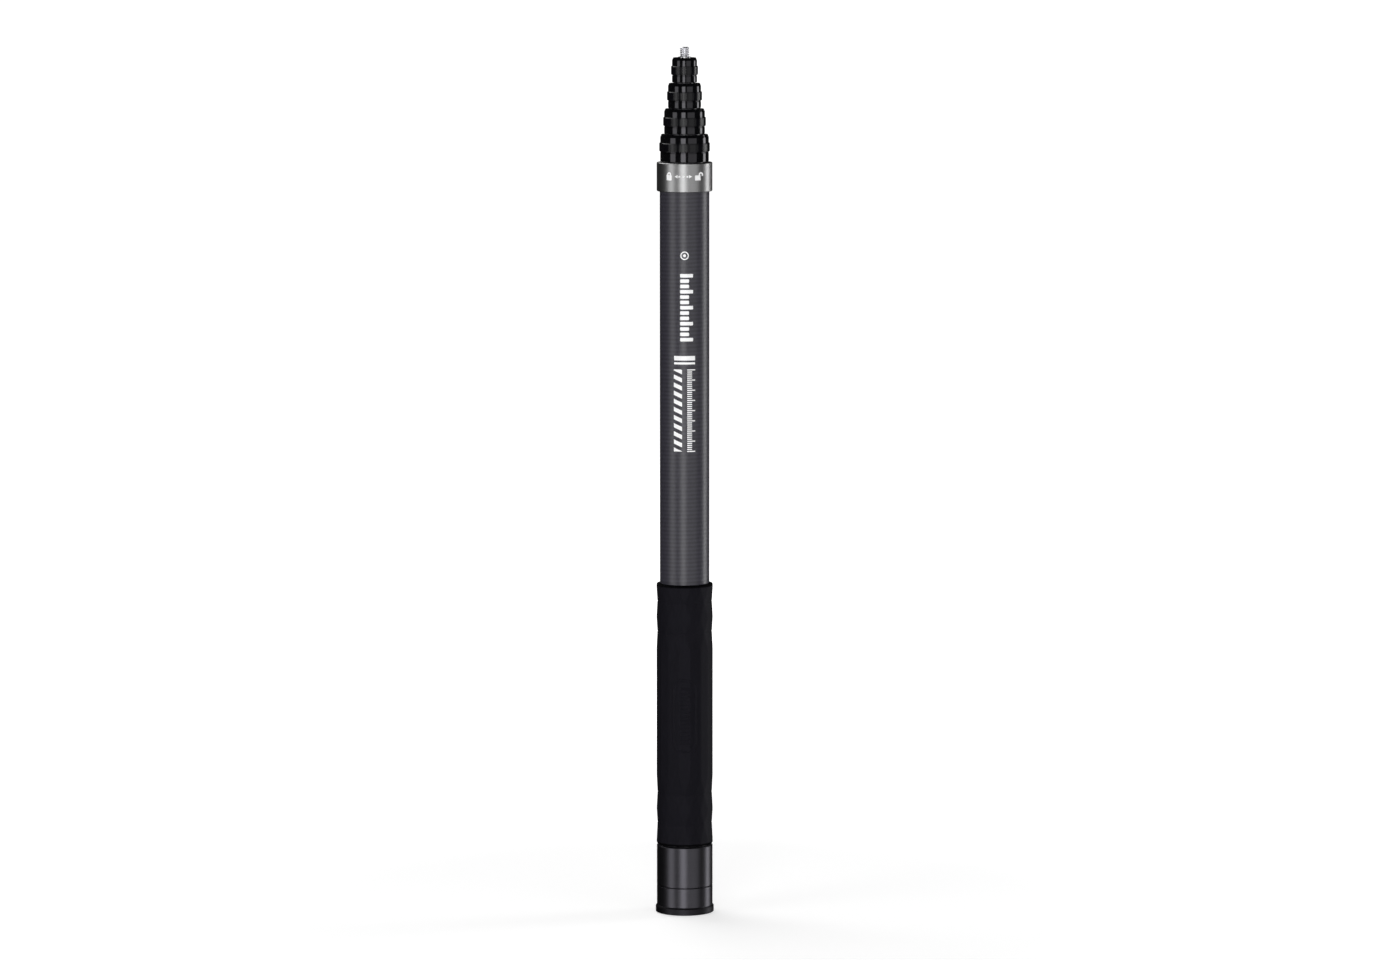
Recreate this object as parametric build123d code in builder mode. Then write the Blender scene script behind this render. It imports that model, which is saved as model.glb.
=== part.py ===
from build123d import *
import os

os.makedirs("parts", exist_ok=True)

# Telescopic boom pole of six carbon sections, collapsed and standing on its end cap.
# Millimetres. The pole's axis is Z, the ground is z = 0 and the tip is up.

# Carbon tubes: the innermost, and the space for a guide bush round each inner tube
tube_6_od = 7.9
tube_wall = 1.1
bush_space_6 = 1.05
bush_space_5 = 1.5
bush_space_4 = 1.4
bush_space_3 = 1.45
bush_space_2 = 1.25

# Fits
bond_gap = 0.03
slide_gap = 0.05
thread_gap = 0.1
turn_gap = 0.3

# End cap and base sleeve
foot_pad_proud = 0.3
foot_pad_thickness = 1.4
foot_pad_hole_wall = 2.0
foot_pad_inset = 1.6
flange_proud = 0.8
flange_top = 5.1
flange_slope = 1.0
base_build = 2.1
cap_ring_top = 17.9
cap_floor = 6.5
cap_chamfer = 0.3
spigot_length = 5.6
spigot_wall = 1.4
insert_od = 10.0
insert_thread_od = 6.35
insert_inset = 0.3
bumper_thickness = 2.0
bumper_gap = 0.5
o_ring_section = 1.0
o_ring_height = 1.4
seam_width = 0.5
sleeve_length = 26.8
sleeve_chamfer = 0.9

# Hand grip
grip_build = 2.35
grip_waist_depth = 0.45
grip_length = 171.8
grip_end_round = 1.2
grip_lower_waves = [2.4, 14.0, 23.5, 34.1, 46.0]  # crests and waists, up from the lower end
grip_upper_waves = [2.4, 11.8, 22.1, 31.7, 42.9]  # the same, down from the upper end

# Guide bushes
bush_length_2 = 27.0
bush_length = 22.0
key_width = 2.4
key_height = 0.3
key_tip_gap = 0.15
key_side_gap = 0.2

# Twist locks
lock_1_bottom = 472.8
lock_1_height = 18.7
lock_2_height = 17.4
lock_height = 15.9
stack_gap = 0.6
ring_build = 1.95
ring_taper_depth = 0.7
ring_taper_height = 1.8
ring_1_chamfer = 0.4
ferrule_wall = 0.9
ring_height = 11.3
band_top_depth = 5.4
band_height = 5.6
band_proud = 0.66
band_seat_depth = 0.35
band_chamfer = 0.3
mouth_gap = 0.5
lip_thickness = 1.2
pocket_wall = 1.35
wiper_height = 1.2
wiper_gap = 0.06
collet_flange_height = 1.5
collet_length = 5.0
collet_nose_wall = 0.55
collet_slot_width = 1.0
collet_slots = 6
bead_height = 0.3
bead_depth = 0.3
cone_gap = 0.12
stop_lip_height = 1.1
stop_lip_gap = 0.3
ferrule_chamfer = 0.25

# Tip
tip_shoulder_build = 0.2
tip_shoulder_height = 1.1
tip_shoulder_over_lock = 0.5
tip_spigot_length = 16.0
stud_od = 6.35
stud_length = 6.35
stud_chamfer = 0.7
shank_wall = 1.25
shank_length = 10.0

# Radii worked out from the sizes above
bush_space = {2: bush_space_2, 3: bush_space_3, 4: bush_space_4, 5: bush_space_5, 6: bush_space_6}
tube_r = {6: tube_6_od / 2}
bore_r = {6: tube_r[6] - tube_wall}
for n in range(5, 0, -1):
    bore_r[n] = tube_r[n + 1] + bush_space[n + 1]
    tube_r[n] = bore_r[n] + tube_wall
groove_depth = key_height + key_tip_gap
groove_width = key_width + 2 * key_side_gap
base_r = tube_r[1] + base_build
flange_r = base_r + flange_proud
cap_bore_r = bore_r[1] + groove_depth
spigot_r = cap_bore_r + spigot_wall
insert_r = insert_od / 2
foot_pad_r = flange_r - foot_pad_inset
foot_pad_hole_r = insert_r + foot_pad_hole_wall
grip_r = tube_r[1] + grip_build
waist_r = grip_r - grip_waist_depth
shank_r = bore_r[6] - shank_wall

# Heights worked out from the sizes above
cap_bottom = foot_pad_proud
seam_top = cap_ring_top + seam_width
sleeve_top = seam_top + sleeve_length
spigot_top = cap_ring_top + spigot_length
outer_tube_bottom = spigot_top + turn_gap + seam_width
bumper_top = cap_floor + bumper_thickness
inner_tube_bottom = bumper_top + turn_gap
grip_bottom = sleeve_top + turn_gap
grip_top = grip_bottom + grip_length

lock_heights = {1: lock_1_height, 2: lock_2_height, 3: lock_height, 4: lock_height, 5: lock_height}
lock_bottom = {1: lock_1_bottom}
lock_top = {}
for n in lock_heights:
    lock_top[n] = lock_bottom[n] + lock_heights[n]
    lock_bottom[n + 1] = lock_top[n] + stack_gap

# Each lock's inner levels, measured down from its top
wiper_top_depth = lip_thickness + slide_gap
collet_top_depth = wiper_top_depth + wiper_height + slide_gap
flange_bottom_depth = collet_top_depth + collet_flange_height
bead_top_depth = flange_bottom_depth + slide_gap
bead_bottom_depth = bead_top_depth + bead_height
ferrule_top_depth = bead_bottom_depth + thread_gap
collet_bottom_depth = collet_top_depth + collet_length
stop_lip_top_depth = collet_bottom_depth + turn_gap
stop_lip_bottom_depth = stop_lip_top_depth + stop_lip_height
tube_end_depth = stop_lip_bottom_depth + slide_gap

tip_shoulder_top = lock_top[5] + tip_shoulder_over_lock
tube_bottom = {n: inner_tube_bottom for n in range(2, 7)}
tube_bottom[1] = outer_tube_bottom
tube_top = {n: lock_top[n] - tube_end_depth for n in range(1, 6)}
tube_top[6] = tip_shoulder_top - tip_shoulder_height


# Six carbon tubes; all but the innermost have two straight grooves in the bore
for n in range(1, 7):
    with BuildPart() as tube:
        with BuildSketch(Plane.XY.offset(tube_bottom[n])):
            Circle(tube_r[n])
            Circle(bore_r[n], mode=Mode.SUBTRACT)
            if n < 6:
                with PolarLocations(bore_r[n], 2):
                    Rectangle(2 * groove_depth, groove_width, mode=Mode.SUBTRACT)
        extrude(amount=tube_top[n] - tube_bottom[n])
    name = "outer_tube" if n == 1 else f"tube_{n}"
    tube.part.label = name
    export_step(tube.part, f"parts/{name}.step")


# Guide bush on the lower end of each inner tube, with two keys that run in the grooves
for n in range(2, 7):
    length = bush_length_2 if n == 2 else bush_length
    key_tip = bore_r[n - 1] + key_height
    with BuildPart() as bush:
        with BuildSketch(Plane.XY.offset(tube_bottom[n])):
            Circle(bore_r[n - 1] - slide_gap)
            with PolarLocations(key_tip / 2, 2):
                Rectangle(key_tip, key_width)
            Circle(tube_r[n] + bond_gap, mode=Mode.SUBTRACT)
        extrude(amount=length)
    bush.part.label = f"guide_bush_{n}"
    export_step(bush.part, f"parts/guide_bush_{n}.step")
    travel = tube_top[n - 1] + slide_gap - (tube_bottom[n] + length) - turn_gap
    print(f"section_{n} travel {travel:.2f}")


# Five twist locks: ferrule, collet, wiper and ring, each on tube n and gripping tube n + 1
for n in range(1, 6):
    top = lock_top[n]
    gripped_r = tube_r[n + 1]
    ring_r = tube_r[n] + ring_build
    thread_r = tube_r[n] + ferrule_wall
    ring_bore_r = thread_r + thread_gap
    pocket_r = ring_r - pocket_wall
    collet_flange_r = pocket_r - slide_gap
    bead_r = pocket_r - bead_depth
    cone_r = bead_r - cone_gap
    nose_r = gripped_r + collet_nose_wall
    ring_bottom = lock_bottom[1] if n == 1 else top - ring_height
    taper_depth = ring_1_chamfer if n == 1 else ring_taper_depth
    taper_height = ring_1_chamfer if n == 1 else ring_taper_height

    # ferrule, bonded over the tube end, with the collet's cone and the stop lip in its mouth
    barrel_bottom = lock_bottom[n] + turn_gap if n == 1 else lock_bottom[n]
    bond_r = tube_r[n] + bond_gap
    with BuildPart() as ferrule:
        with BuildSketch(Plane.XZ):
            with BuildLine():
                Polyline(
                    (bond_r, barrel_bottom),
                    (thread_r, barrel_bottom),
                    (thread_r, top - ferrule_top_depth),
                    (cone_r + cone_gap, top - ferrule_top_depth),
                    (nose_r + cone_gap, top - collet_bottom_depth),
                    (nose_r + cone_gap, top - stop_lip_top_depth),
                    (gripped_r + stop_lip_gap, top - stop_lip_top_depth),
                    (gripped_r + stop_lip_gap, top - stop_lip_bottom_depth),
                    (bond_r, top - stop_lip_bottom_depth),
                    close=True,
                )
            make_face()
        revolve(axis=Axis.Z)
        if n > 1:
            with BuildSketch(Plane.XY.offset(lock_bottom[n])):
                Circle(ring_r)
                Circle(bond_r, mode=Mode.SUBTRACT)
            extrude(amount=ring_bottom - turn_gap - lock_bottom[n])
            rims = ferrule.edges().filter_by(GeomType.CIRCLE).filter_by(lambda e: abs(e.radius - ring_r) < 0.001)
            chamfer(rims, length=ferrule_chamfer)
    ferrule.part.label = f"lock_ferrule_{n}"
    export_step(ferrule.part, f"parts/lock_ferrule_{n}.step")

    # split collet, slit from below all round and right through on one side
    slot_r = (gripped_r + collet_flange_r) / 2
    slot_reach = 2 * (collet_flange_r - gripped_r)
    with BuildPart() as collet:
        with BuildSketch(Plane.XZ):
            with BuildLine():
                Polyline(
                    (gripped_r + slide_gap, top - collet_bottom_depth),
                    (nose_r, top - collet_bottom_depth),
                    (cone_r - cone_gap, top - flange_bottom_depth),
                    (collet_flange_r, top - flange_bottom_depth),
                    (collet_flange_r, top - collet_top_depth),
                    (gripped_r + slide_gap, top - collet_top_depth),
                    close=True,
                )
            make_face()
        revolve(axis=Axis.Z)
        with BuildSketch(Plane.XY.offset(top - collet_bottom_depth)):
            with PolarLocations(slot_r, collet_slots):
                Rectangle(slot_reach, collet_slot_width)
        extrude(amount=collet_length - collet_flange_height / 2, mode=Mode.SUBTRACT)
        with BuildSketch(Plane.XY.offset(top - collet_bottom_depth)):
            with Locations((slot_r, 0)):
                Rectangle(slot_reach, collet_slot_width)
        extrude(amount=collet_length, mode=Mode.SUBTRACT)
    collet.part.label = f"collet_{n}"
    export_step(collet.part, f"parts/collet_{n}.step")

    # wiper ring with a lip that brushes the tube
    wiper_top = top - wiper_top_depth
    with BuildPart() as wiper:
        with BuildSketch(Plane.XZ):
            with BuildLine():
                Polyline(
                    (gripped_r + wiper_gap, wiper_top),
                    (gripped_r + mouth_gap, wiper_top - wiper_height),
                    (pocket_r - slide_gap, wiper_top - wiper_height),
                    (pocket_r - slide_gap, wiper_top),
                    close=True,
                )
            make_face()
        revolve(axis=Axis.Z)
    wiper.part.label = f"wiper_{n}"
    export_step(wiper.part, f"parts/wiper_{n}.step")

    # lock ring: mouth lip, pocket for wiper and collet, snap bead and threaded skirt
    with BuildPart() as ring:
        with BuildSketch(Plane.XZ):
            with BuildLine():
                Polyline(
                    (ring_bore_r, ring_bottom),
                    (ring_r, ring_bottom),
                    (ring_r, top - taper_height),
                    (ring_r - taper_depth, top),
                    (gripped_r + mouth_gap, top),
                    (gripped_r + mouth_gap, top - lip_thickness),
                    (pocket_r, top - lip_thickness),
                    (pocket_r, top - bead_top_depth),
                    (bead_r, top - bead_top_depth),
                    (bead_r, top - bead_bottom_depth),
                    (ring_bore_r, top - bead_bottom_depth),
                    close=True,
                )
            make_face()
        revolve(axis=Axis.Z)
        if n == 1:
            rims = ring.edges().filter_by(GeomType.CIRCLE).group_by(Axis.Z)[0]
            chamfer(rims.sort_by(SortBy.RADIUS)[-1], length=ring_1_chamfer)
        else:
            with BuildSketch(Plane.XY.offset(top - band_top_depth)):
                Circle(ring_r + band_proud)
                Circle(ring_r - band_seat_depth, mode=Mode.SUBTRACT)
            extrude(amount=-band_height, mode=Mode.SUBTRACT)
    ring.part.label = f"lock_ring_{n}"
    export_step(ring.part, f"parts/lock_ring_{n}.step")

    # knurled band seated in the ring's groove; the grey ring on the outer tube has none
    if n > 1:
        with BuildPart() as band:
            with BuildSketch(Plane.XY.offset(top - band_top_depth - slide_gap)):
                Circle(ring_r + band_proud)
                Circle(ring_r - band_seat_depth + bond_gap, mode=Mode.SUBTRACT)
            extrude(amount=-(band_height - 2 * slide_gap))
            rims = band.edges().filter_by(GeomType.CIRCLE).filter_by(lambda e: e.radius > ring_r)
            chamfer(rims, length=band_chamfer)
        band.part.label = f"grip_band_{n}"
        export_step(band.part, f"parts/grip_band_{n}.step")


# Tip fitting, a turned plug in the end of the innermost tube
with BuildPart() as tip_fitting:
    with BuildSketch(Plane.XY.offset(tube_top[6])):
        Circle(bore_r[6] - bond_gap)
    extrude(amount=-tip_spigot_length)
    with BuildSketch(Plane.XY.offset(tube_top[6])):
        Circle(tube_r[6] + tip_shoulder_build)
    extrude(amount=tip_shoulder_height)
    with BuildSketch(Plane.XY.offset(tip_shoulder_top)):
        Circle(shank_r + bond_gap)
    extrude(amount=-shank_length - turn_gap, mode=Mode.SUBTRACT)
tip_fitting.part.label = "tip_fitting"
export_step(tip_fitting.part, "parts/tip_fitting.step")

# Tip stud, a 1/4 inch screw with a shank set in the fitting
with BuildPart() as tip_stud:
    with BuildSketch(Plane.XY.offset(tip_shoulder_top)):
        Circle(stud_od / 2)
    extrude(amount=stud_length)
    chamfer(tip_stud.edges().group_by(Axis.Z)[-1], length=stud_chamfer)
    with BuildSketch(Plane.XY.offset(tip_shoulder_top)):
        Circle(shank_r)
    extrude(amount=-shank_length)
tip_stud.part.label = "tip_stud"
export_step(tip_stud.part, "parts/tip_stud.step")


# Hand grip, moulded rubber with two waists near each end
with BuildPart() as hand_grip:
    with BuildSketch(Plane.XZ):
        with BuildLine():
            wave_r = [grip_r, waist_r, grip_r, waist_r, grip_r]
            Polyline(
                (tube_r[1] + bond_gap, grip_bottom),
                (grip_r, grip_bottom),
                *[(r, grip_bottom + z) for r, z in zip(wave_r, grip_lower_waves)],
                *[(r, grip_top - z) for r, z in reversed(list(zip(wave_r, grip_upper_waves)))],
                (grip_r, grip_top),
                (tube_r[1] + bond_gap, grip_top),
                close=True,
            )
        make_face()
    revolve(axis=Axis.Z)
    ends = hand_grip.edges().filter_by(GeomType.CIRCLE).filter_by(lambda e: e.radius > waist_r)
    fillet([ends.sort_by(Axis.Z)[0], ends.sort_by(Axis.Z)[-1]], radius=grip_end_round)
hand_grip.part.label = "hand_grip"
export_step(hand_grip.part, "parts/hand_grip.step")


# Base sleeve, bonded over the lower end of the outer tube, threaded inside below it
with BuildPart() as base_sleeve:
    with BuildSketch(Plane.XZ):
        with BuildLine():
            Polyline(
                (spigot_r + thread_gap, seam_top),
                (base_r, seam_top),
                (base_r, sleeve_top),
                (tube_r[1] + bond_gap, sleeve_top),
                (tube_r[1] + bond_gap, outer_tube_bottom),
                (spigot_r + thread_gap, outer_tube_bottom),
                close=True,
            )
        make_face()
    revolve(axis=Axis.Z)
    rims = base_sleeve.edges().filter_by(GeomType.CIRCLE).filter_by(lambda e: abs(e.radius - base_r) < 0.001)
    chamfer(rims.sort_by(Axis.Z)[-1], length=sleeve_chamfer)
base_sleeve.part.label = "base_sleeve"
export_step(base_sleeve.part, "parts/base_sleeve.step")

# End cap: foot flange, ring, cup and a threaded spigot with the O-ring's groove
o_ring_z = cap_ring_top + o_ring_height
o_ring_r = spigot_r + thread_gap - slide_gap - o_ring_section / 2
with BuildPart() as end_cap:
    with BuildSketch(Plane.XZ):
        with BuildLine():
            Polyline(
                (0, cap_bottom),
                (flange_r, cap_bottom),
                (flange_r, flange_top - flange_slope),
                (base_r, flange_top),
                (base_r, cap_ring_top),
                (spigot_r, cap_ring_top),
                (spigot_r, spigot_top),
                (cap_bore_r, spigot_top),
                (cap_bore_r, cap_floor),
                (0, cap_floor),
                close=True,
            )
        make_face()
    revolve(axis=Axis.Z)
    rims = end_cap.edges().filter_by(GeomType.CIRCLE).filter_by(lambda e: e.radius > spigot_r)
    chamfer([rims.sort_by(Axis.Z)[0], rims.sort_by(Axis.Z)[-1]], length=cap_chamfer)
    with BuildSketch(Plane.XY.offset(cap_bottom)):
        Circle(foot_pad_r + bond_gap)
        Circle(foot_pad_hole_r - bond_gap, mode=Mode.SUBTRACT)
    extrude(amount=foot_pad_thickness - foot_pad_proud, mode=Mode.SUBTRACT)
    with BuildSketch(Plane.XY.offset(cap_bottom)):
        Circle(insert_r + bond_gap)
    extrude(amount=cap_floor - cap_bottom, mode=Mode.SUBTRACT)
    with BuildSketch(Plane.XY.offset(o_ring_z - o_ring_section / 2 - thread_gap)):
        Circle(spigot_r + thread_gap)
        Circle(o_ring_r - o_ring_section / 2 - bond_gap, mode=Mode.SUBTRACT)
    extrude(amount=o_ring_section + 2 * thread_gap, mode=Mode.SUBTRACT)
end_cap.part.label = "end_cap"
export_step(end_cap.part, "parts/end_cap.step")

# O-ring in the spigot's groove
with BuildPart() as cap_o_ring:
    with BuildSketch(Plane.XZ):
        with Locations((o_ring_r, o_ring_z)):
            Circle(o_ring_section / 2)
    revolve(axis=Axis.Z)
cap_o_ring.part.label = "cap_o_ring"
export_step(cap_o_ring.part, "parts/cap_o_ring.step")

# Threaded insert for a 1/4 inch stand screw
with BuildPart() as cap_insert:
    with BuildSketch(Plane.XY.offset(cap_bottom + insert_inset)):
        Circle(insert_r)
        Circle(insert_thread_od / 2, mode=Mode.SUBTRACT)
    extrude(amount=cap_floor - cap_bottom - insert_inset)
cap_insert.part.label = "cap_insert"
export_step(cap_insert.part, "parts/cap_insert.step")

# Rubber foot pad in the recess under the flange
with BuildPart() as foot_pad:
    with BuildSketch(Plane.XY):
        Circle(foot_pad_r)
        Circle(foot_pad_hole_r, mode=Mode.SUBTRACT)
    extrude(amount=foot_pad_thickness)
foot_pad.part.label = "foot_pad"
export_step(foot_pad.part, "parts/foot_pad.step")

# Rubber bumper on the floor of the cup, under the inner tubes
with BuildPart() as bumper:
    with BuildSketch(Plane.XY.offset(cap_floor)):
        Circle(cap_bore_r - bumper_gap)
    extrude(amount=bumper_thickness)
bumper.part.label = "bumper"
export_step(bumper.part, "parts/bumper.step")
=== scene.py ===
import math
import bmesh
import bpy
import numpy as np
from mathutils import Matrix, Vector


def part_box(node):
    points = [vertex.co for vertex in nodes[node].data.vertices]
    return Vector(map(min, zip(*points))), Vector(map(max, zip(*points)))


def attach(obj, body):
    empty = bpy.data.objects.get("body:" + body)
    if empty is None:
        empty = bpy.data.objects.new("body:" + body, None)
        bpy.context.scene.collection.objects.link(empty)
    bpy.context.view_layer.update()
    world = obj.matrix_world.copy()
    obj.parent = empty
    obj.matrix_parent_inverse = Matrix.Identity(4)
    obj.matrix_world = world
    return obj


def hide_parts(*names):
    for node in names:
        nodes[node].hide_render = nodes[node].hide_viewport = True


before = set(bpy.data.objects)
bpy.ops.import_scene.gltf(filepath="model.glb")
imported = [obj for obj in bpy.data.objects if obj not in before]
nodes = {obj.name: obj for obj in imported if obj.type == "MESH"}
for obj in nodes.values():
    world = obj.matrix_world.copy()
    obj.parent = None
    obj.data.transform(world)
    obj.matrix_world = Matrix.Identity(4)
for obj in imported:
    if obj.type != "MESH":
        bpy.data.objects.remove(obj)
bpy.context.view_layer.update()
scene = bpy.context.scene
mm = 0.001
turn = 2 * math.pi
tiny = 1e-6  # slack when lengths and angles are compared
grainFineness = 0.6  # how strongly a grain shows its finer noise


def reach(name):  # a node's outer radius, bottom and top in millimetres
    low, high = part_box(name)
    return high.x / mm, low.z / mm, high.z / mm


class Value:  # one output of a node, so that shader maths reads as arithmetic
    def __init__(self, finish, socket):
        self.finish = finish
        self.socket = socket

    def __add__(self, other):
        return self.finish.maths("ADD", self, other)

    def __sub__(self, other):
        return self.finish.maths("SUBTRACT", self, other)

    def __rsub__(self, other):
        return self.finish.maths("SUBTRACT", other, self)

    def __mul__(self, other):
        return self.finish.maths("MULTIPLY", self, other)

    def __truediv__(self, other):
        return self.finish.maths("DIVIDE", self, other)

    def __rtruediv__(self, other):
        return self.finish.maths("DIVIDE", other, self)

    __radd__ = __add__
    __rmul__ = __mul__


class Finish:  # one material, or the world, and the means to wire it
    def __init__(self, made):
        self.made = made
        made.use_nodes = True
        self.tree = made.node_tree
        self.tree.nodes.clear()

    def node(self, kind, settings, sockets, output=0):
        made = self.tree.nodes.new(kind)
        for name, setting in settings.items():
            setattr(made, name, setting)
        for name, value in sockets.items():
            if isinstance(value, Value):
                self.tree.links.new(value.socket, made.inputs[name])
            else:
                made.inputs[name].default_value = value
        return Value(self, made.outputs[output]) if made.outputs else made

    def maths(self, operation, *values):
        return self.node("ShaderNodeMath", {"operation": operation}, dict(enumerate(values)))

    def clamped(self, value):
        return self.node("ShaderNodeClamp", {}, {"Value": value})

    def place(self):  # where a point lies on the pole, in millimetres: x, y and height
        spot = self.node("ShaderNodeTexCoord", {}, {}, "Object")
        parts = self.node("ShaderNodeSeparateXYZ", {}, {"Vector": spot})
        sockets = parts.socket.node.outputs
        return [Value(self, socket) / mm for socket in sockets]

    def grain(self, point, scale, detail=3.0):  # noise of about 0 to 1, scales across and along
        across, along = scale
        x, y, z = point
        spot = self.node("ShaderNodeCombineXYZ", {}, {0: x * across, 1: y * across, 2: z * along})
        sockets = {"Vector": spot, "Scale": 1.0, "Detail": detail, "Roughness": grainFineness}
        return self.node("ShaderNodeTexNoise", {}, sockets)

    def blend(self, share, first, second):
        return self.node("ShaderNodeMix", {"data_type": "RGBA"}, {0: share, 6: first, 7: second}, 2)

    def bump(self, height, depth):  # depth is in millimetres, for a height of 1
        sockets = {"Strength": 1.0, "Distance": depth * mm, "Height": height}
        return self.node("ShaderNodeBump", {}, sockets)

    def surface(self, sockets):
        shader = self.node("ShaderNodeBsdfPrincipled", {}, sockets)
        self.node("ShaderNodeOutputMaterial", {}, {"Surface": shader})
        return self.made


def newFinish(name):
    return Finish(bpy.data.materials.new(name))


def colour(red, green, blue):
    return (red, green, blue, 1)


def shaded(shade, share):
    return colour(*[part * share for part in shade[:3]])


# finishes; each grain is a pair, how many spots of noise lie in a millimetre across and along
latheDetail = 4.0  # turned lines hold more fine noise than the other grains

carbonLook = {
    "dark": colour(0.0200, 0.0188, 0.0256),
    "light": colour(0.0355, 0.0335, 0.0456),
    "roughness": 0.36,
    "ridgePitch": 2.6,  # mm along the tube for one turn of the winding tape
    "ridgeHeight": 0.05,
    "paintedRidgeShade": 0.42,  # painted light and shade: how much darker the grooves between the turns are, and lighter the crests
    "ridgeShare": 0.5,
    "fibreGrain": (0.25, 2.6),
    "fibreShade": 0.5,
    "fibreShare": 0.12,
    "fibreRoughness": 0.10,
    "smudgeGrain": (0.06, 0.03),
    "smudgeRoughness": 0.08,
}


def carbonTube(name, ridged):  # ridged where the mesh has no ridges of its own
    look = carbonLook
    paint = newFinish(name)
    x, y, z = point = paint.place()
    fibre = paint.grain(point, look["fibreGrain"])
    smudge = paint.grain(point, look["smudgeGrain"])
    around = paint.maths("ARCTAN2", y, x) / turn
    wave = paint.maths("COSINE", (z / look["ridgePitch"] - around) * turn)
    # the ridge wave in the colour is painted light and shade, lighter on the crests and darker in the
    # grooves
    share = 0.5 + look["fibreShade"] * (fibre - 0.5) + look["paintedRidgeShade"] * wave
    uneven = look["fibreRoughness"] * (fibre - 0.5) + look["smudgeRoughness"] * (smudge - 0.5)
    height = look["fibreShare"] * fibre
    if ridged:
        height = height + look["ridgeShare"] * wave
    return paint.surface({
        "Base Color": paint.blend(paint.clamped(share), look["dark"], look["light"]),
        "Roughness": look["roughness"] + uneven,
        "Normal": paint.bump(height, look["ridgeHeight"]),
    })


anodisedLook = {
    "base": colour(0.0010, 0.0010, 0.0013),
    "worn": colour(0.0026, 0.0026, 0.0032),
    "roughness": 0.10,
    "specular": 0.42,
    "tint": colour(0.95, 0.93, 1.0),
    "lineGrain": (0.02, 9.0),
    "lineDepth": 0.002,
    "cloudGrain": (0.12, 0.12),
    "cloudRoughness": 0.06,
}


def blackAnodised():
    look = anodisedLook
    paint = newFinish("blackAnodised")
    point = paint.place()
    lines = paint.grain(point, look["lineGrain"])
    cloud = paint.grain(point, look["cloudGrain"])
    return paint.surface({
        "Base Color": paint.blend(cloud, look["base"], look["worn"]),
        "Roughness": look["roughness"] + look["cloudRoughness"] * (cloud - 0.5),
        "Specular IOR Level": look["specular"],
        "Specular Tint": look["tint"],
        "Normal": paint.bump(lines, look["lineDepth"]),
    })


knurlLook = {
    "base": colour(0.0012, 0.0012, 0.0018),
    "worn": colour(0.0036, 0.0034, 0.0048),
    "roughness": 0.14,
    "specular": 0.25,
    "speckGrain": (1.5, 1.5),
    "speckRoughness": 0.12,
}


def knurledBand():
    look = knurlLook
    paint = newFinish("knurledBand")
    speck = paint.grain(paint.place(), look["speckGrain"])
    return paint.surface({
        "Base Color": paint.blend(speck, look["base"], look["worn"]),
        "Roughness": look["roughness"] + look["speckRoughness"] * (speck - 0.5),
        "Specular IOR Level": look["specular"],
    })


greyLook = {
    "base": colour(0.255, 0.255, 0.256),
    "line": colour(0.320, 0.320, 0.321),
    "roughness": 0.36,
    "lineGrain": (0.03, 7.0),
    "lineDepth": 0.004,
    "lineRoughness": 0.10,
}


def brushedGrey():
    look = greyLook
    paint = newFinish("brushedGrey")
    lines = paint.grain(paint.place(), look["lineGrain"], latheDetail)
    return paint.surface({
        "Base Color": paint.blend(lines, look["base"], look["line"]),
        "Roughness": look["roughness"] + look["lineRoughness"] * (lines - 0.5),
        "Metallic": 1.0,
        "Normal": paint.bump(lines, look["lineDepth"]),
    })


gunmetalLook = {
    "base": colour(0.048, 0.0465, 0.0530),
    "line": colour(0.066, 0.0640, 0.0725),
    "roughness": 0.35,
    "lineGrain": (0.03, 6.0),
    "lineDepth": 0.005,
    "lineRoughness": 0.12,
    "flangeTop": 5.0,  # the foot's flange is rougher and darker than the turned part above it
    "flangeFade": 0.2,
    "flangeShade": 0.40,
    "flangeRoughness": 0.12,
    "flangeGrain": (1.6, 1.6),
    "flangeDepth": 4.0,  # times the depth of the lines
}


def gunmetal():
    look = gunmetalLook
    paint = newFinish("gunmetal")
    x, y, z = point = paint.place()
    lines = paint.grain(point, look["lineGrain"], latheDetail)
    speck = paint.grain(point, look["flangeGrain"])
    flange = paint.clamped((look["flangeTop"] - z) / look["flangeFade"])
    turned = paint.blend(lines, look["base"], look["line"])
    dark = shaded(look["base"], look["flangeShade"])
    light = shaded(look["line"], look["flangeShade"])
    rough = paint.blend(speck, dark, light)
    uneven = look["lineRoughness"] * (lines - 0.5) + look["flangeRoughness"] * flange
    return paint.surface({
        "Base Color": paint.blend(flange, turned, rough),
        "Roughness": look["roughness"] + uneven,
        "Metallic": 1.0,
        "Normal": paint.bump(lines + flange * speck * look["flangeDepth"], look["lineDepth"]),
    })


gripLook = {
    "base": colour(0.0050, 0.0047, 0.0067),
    "dusty": colour(0.0078, 0.0074, 0.0105),
    "roughness": 0.58,
    "specular": 0.06,
    "tint": colour(0.92, 0.90, 1.0),
    "poreGrain": (3.0, 3.0),
    "poreDepth": 0.012,
    "dustGrain": (0.15, 0.06),
    "dustRoughness": 0.10,
    "endWidth": 1.2,  # mm at each end darkened with painted shade, where the rounded ends face away from the lamps
    "endFade": 0.7,
    "paintedEndShade": 0.15,
    "endRoughness": 0.4,
}


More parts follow.
